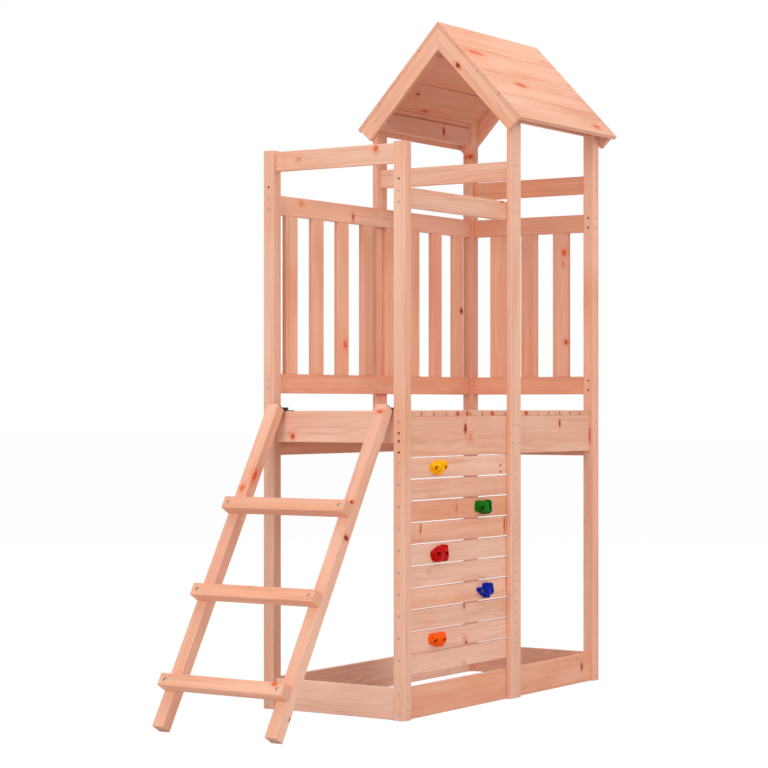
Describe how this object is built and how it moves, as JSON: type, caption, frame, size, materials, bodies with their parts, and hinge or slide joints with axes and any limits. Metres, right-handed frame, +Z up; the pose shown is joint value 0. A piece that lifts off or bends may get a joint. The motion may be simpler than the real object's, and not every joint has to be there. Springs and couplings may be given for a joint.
{
  "type": "wooden climbing frame",
  "caption": "Pine play tower with a raised slatted deck, leaning ladder, climbing wall with coloured holds, picket fences and a gable roof over the rear half.",
  "frame": {"origin": "on the ground, under the middle of the box round the whole frame, ladder and roof included", "axes": "+X from the ladder to the rear of the tower, +Y from the climbing wall side to the fenced side, +Z up"},
  "size_m": [2.1108, 0.7256, 2.52],
  "materials": {
    "pine": "planed and lightly stained",
    "yellow_plastic": "moulded, semi gloss",
    "green_plastic": "moulded, semi gloss",
    "red_plastic": "moulded, semi gloss",
    "blue_plastic": "moulded, semi gloss",
    "orange_plastic": "moulded, semi gloss",
    "dark_steel": "dark grey coating",
    "zinc_steel": "zinc plated"
  },
  "bodies": {
    "root": {"blue_hold": "blue_plastic", "deck_front_board": "pine", "deck_planks": "pine", "front_ground_board": "pine", "front_header_rail": "pine", "front_left_post": "pine", "front_left_rafter": "pine", "front_right_post": "pine", "front_right_rafter": "pine", "green_hold": "green_plastic", "hold_bolts": "zinc_steel", "hold_nuts": "zinc_steel", "ladder_bolts": "zinc_steel", "ladder_nuts": "zinc_steel", "ladder_step_1": "pine", "ladder_step_2": "pine", "ladder_step_3": "pine", "left_deck_beam": "pine", "left_eave_beam": "pine", "left_fence_bottom_rail": "pine", "left_fence_pickets": "pine", "left_fence_top_rail": "pine", "left_ground_board": "pine", "left_ladder_bracket": "dark_steel", "left_stile": "pine", "middle_cross_bar": "pine", "middle_left_upright": "pine", "middle_right_upright": "pine", "orange_hold": "orange_plastic", "rear_deck_beam": "pine", "rear_fence_bottom_rail": "pine", "rear_fence_pickets": "pine", "rear_fence_top_rail": "pine", "rear_ground_board": "pine", "rear_header_rail": "pine", "rear_left_post": "pine", "rear_left_rafter": "pine", "rear_right_post": "pine", "rear_right_rafter": "pine", "red_hold": "red_plastic", "right_deck_beam": "pine", "right_eave_beam": "pine", "right_ground_board": "pine", "right_ladder_bracket": "dark_steel", "right_stile": "pine", "right_top_rail": "pine", "roof_boards_left": "pine", "roof_boards_right": "pine", "wall_board_01": "pine", "wall_board_02": "pine", "wall_board_03": "pine", "wall_board_04": "pine", "wall_board_05": "pine", "wall_board_06": "pine", "wall_board_07": "pine", "wall_board_08": "pine", "wall_board_09": "pine", "wall_board_10": "pine", "yellow_hold": "yellow_plastic"}
  },
  "joints": []
}
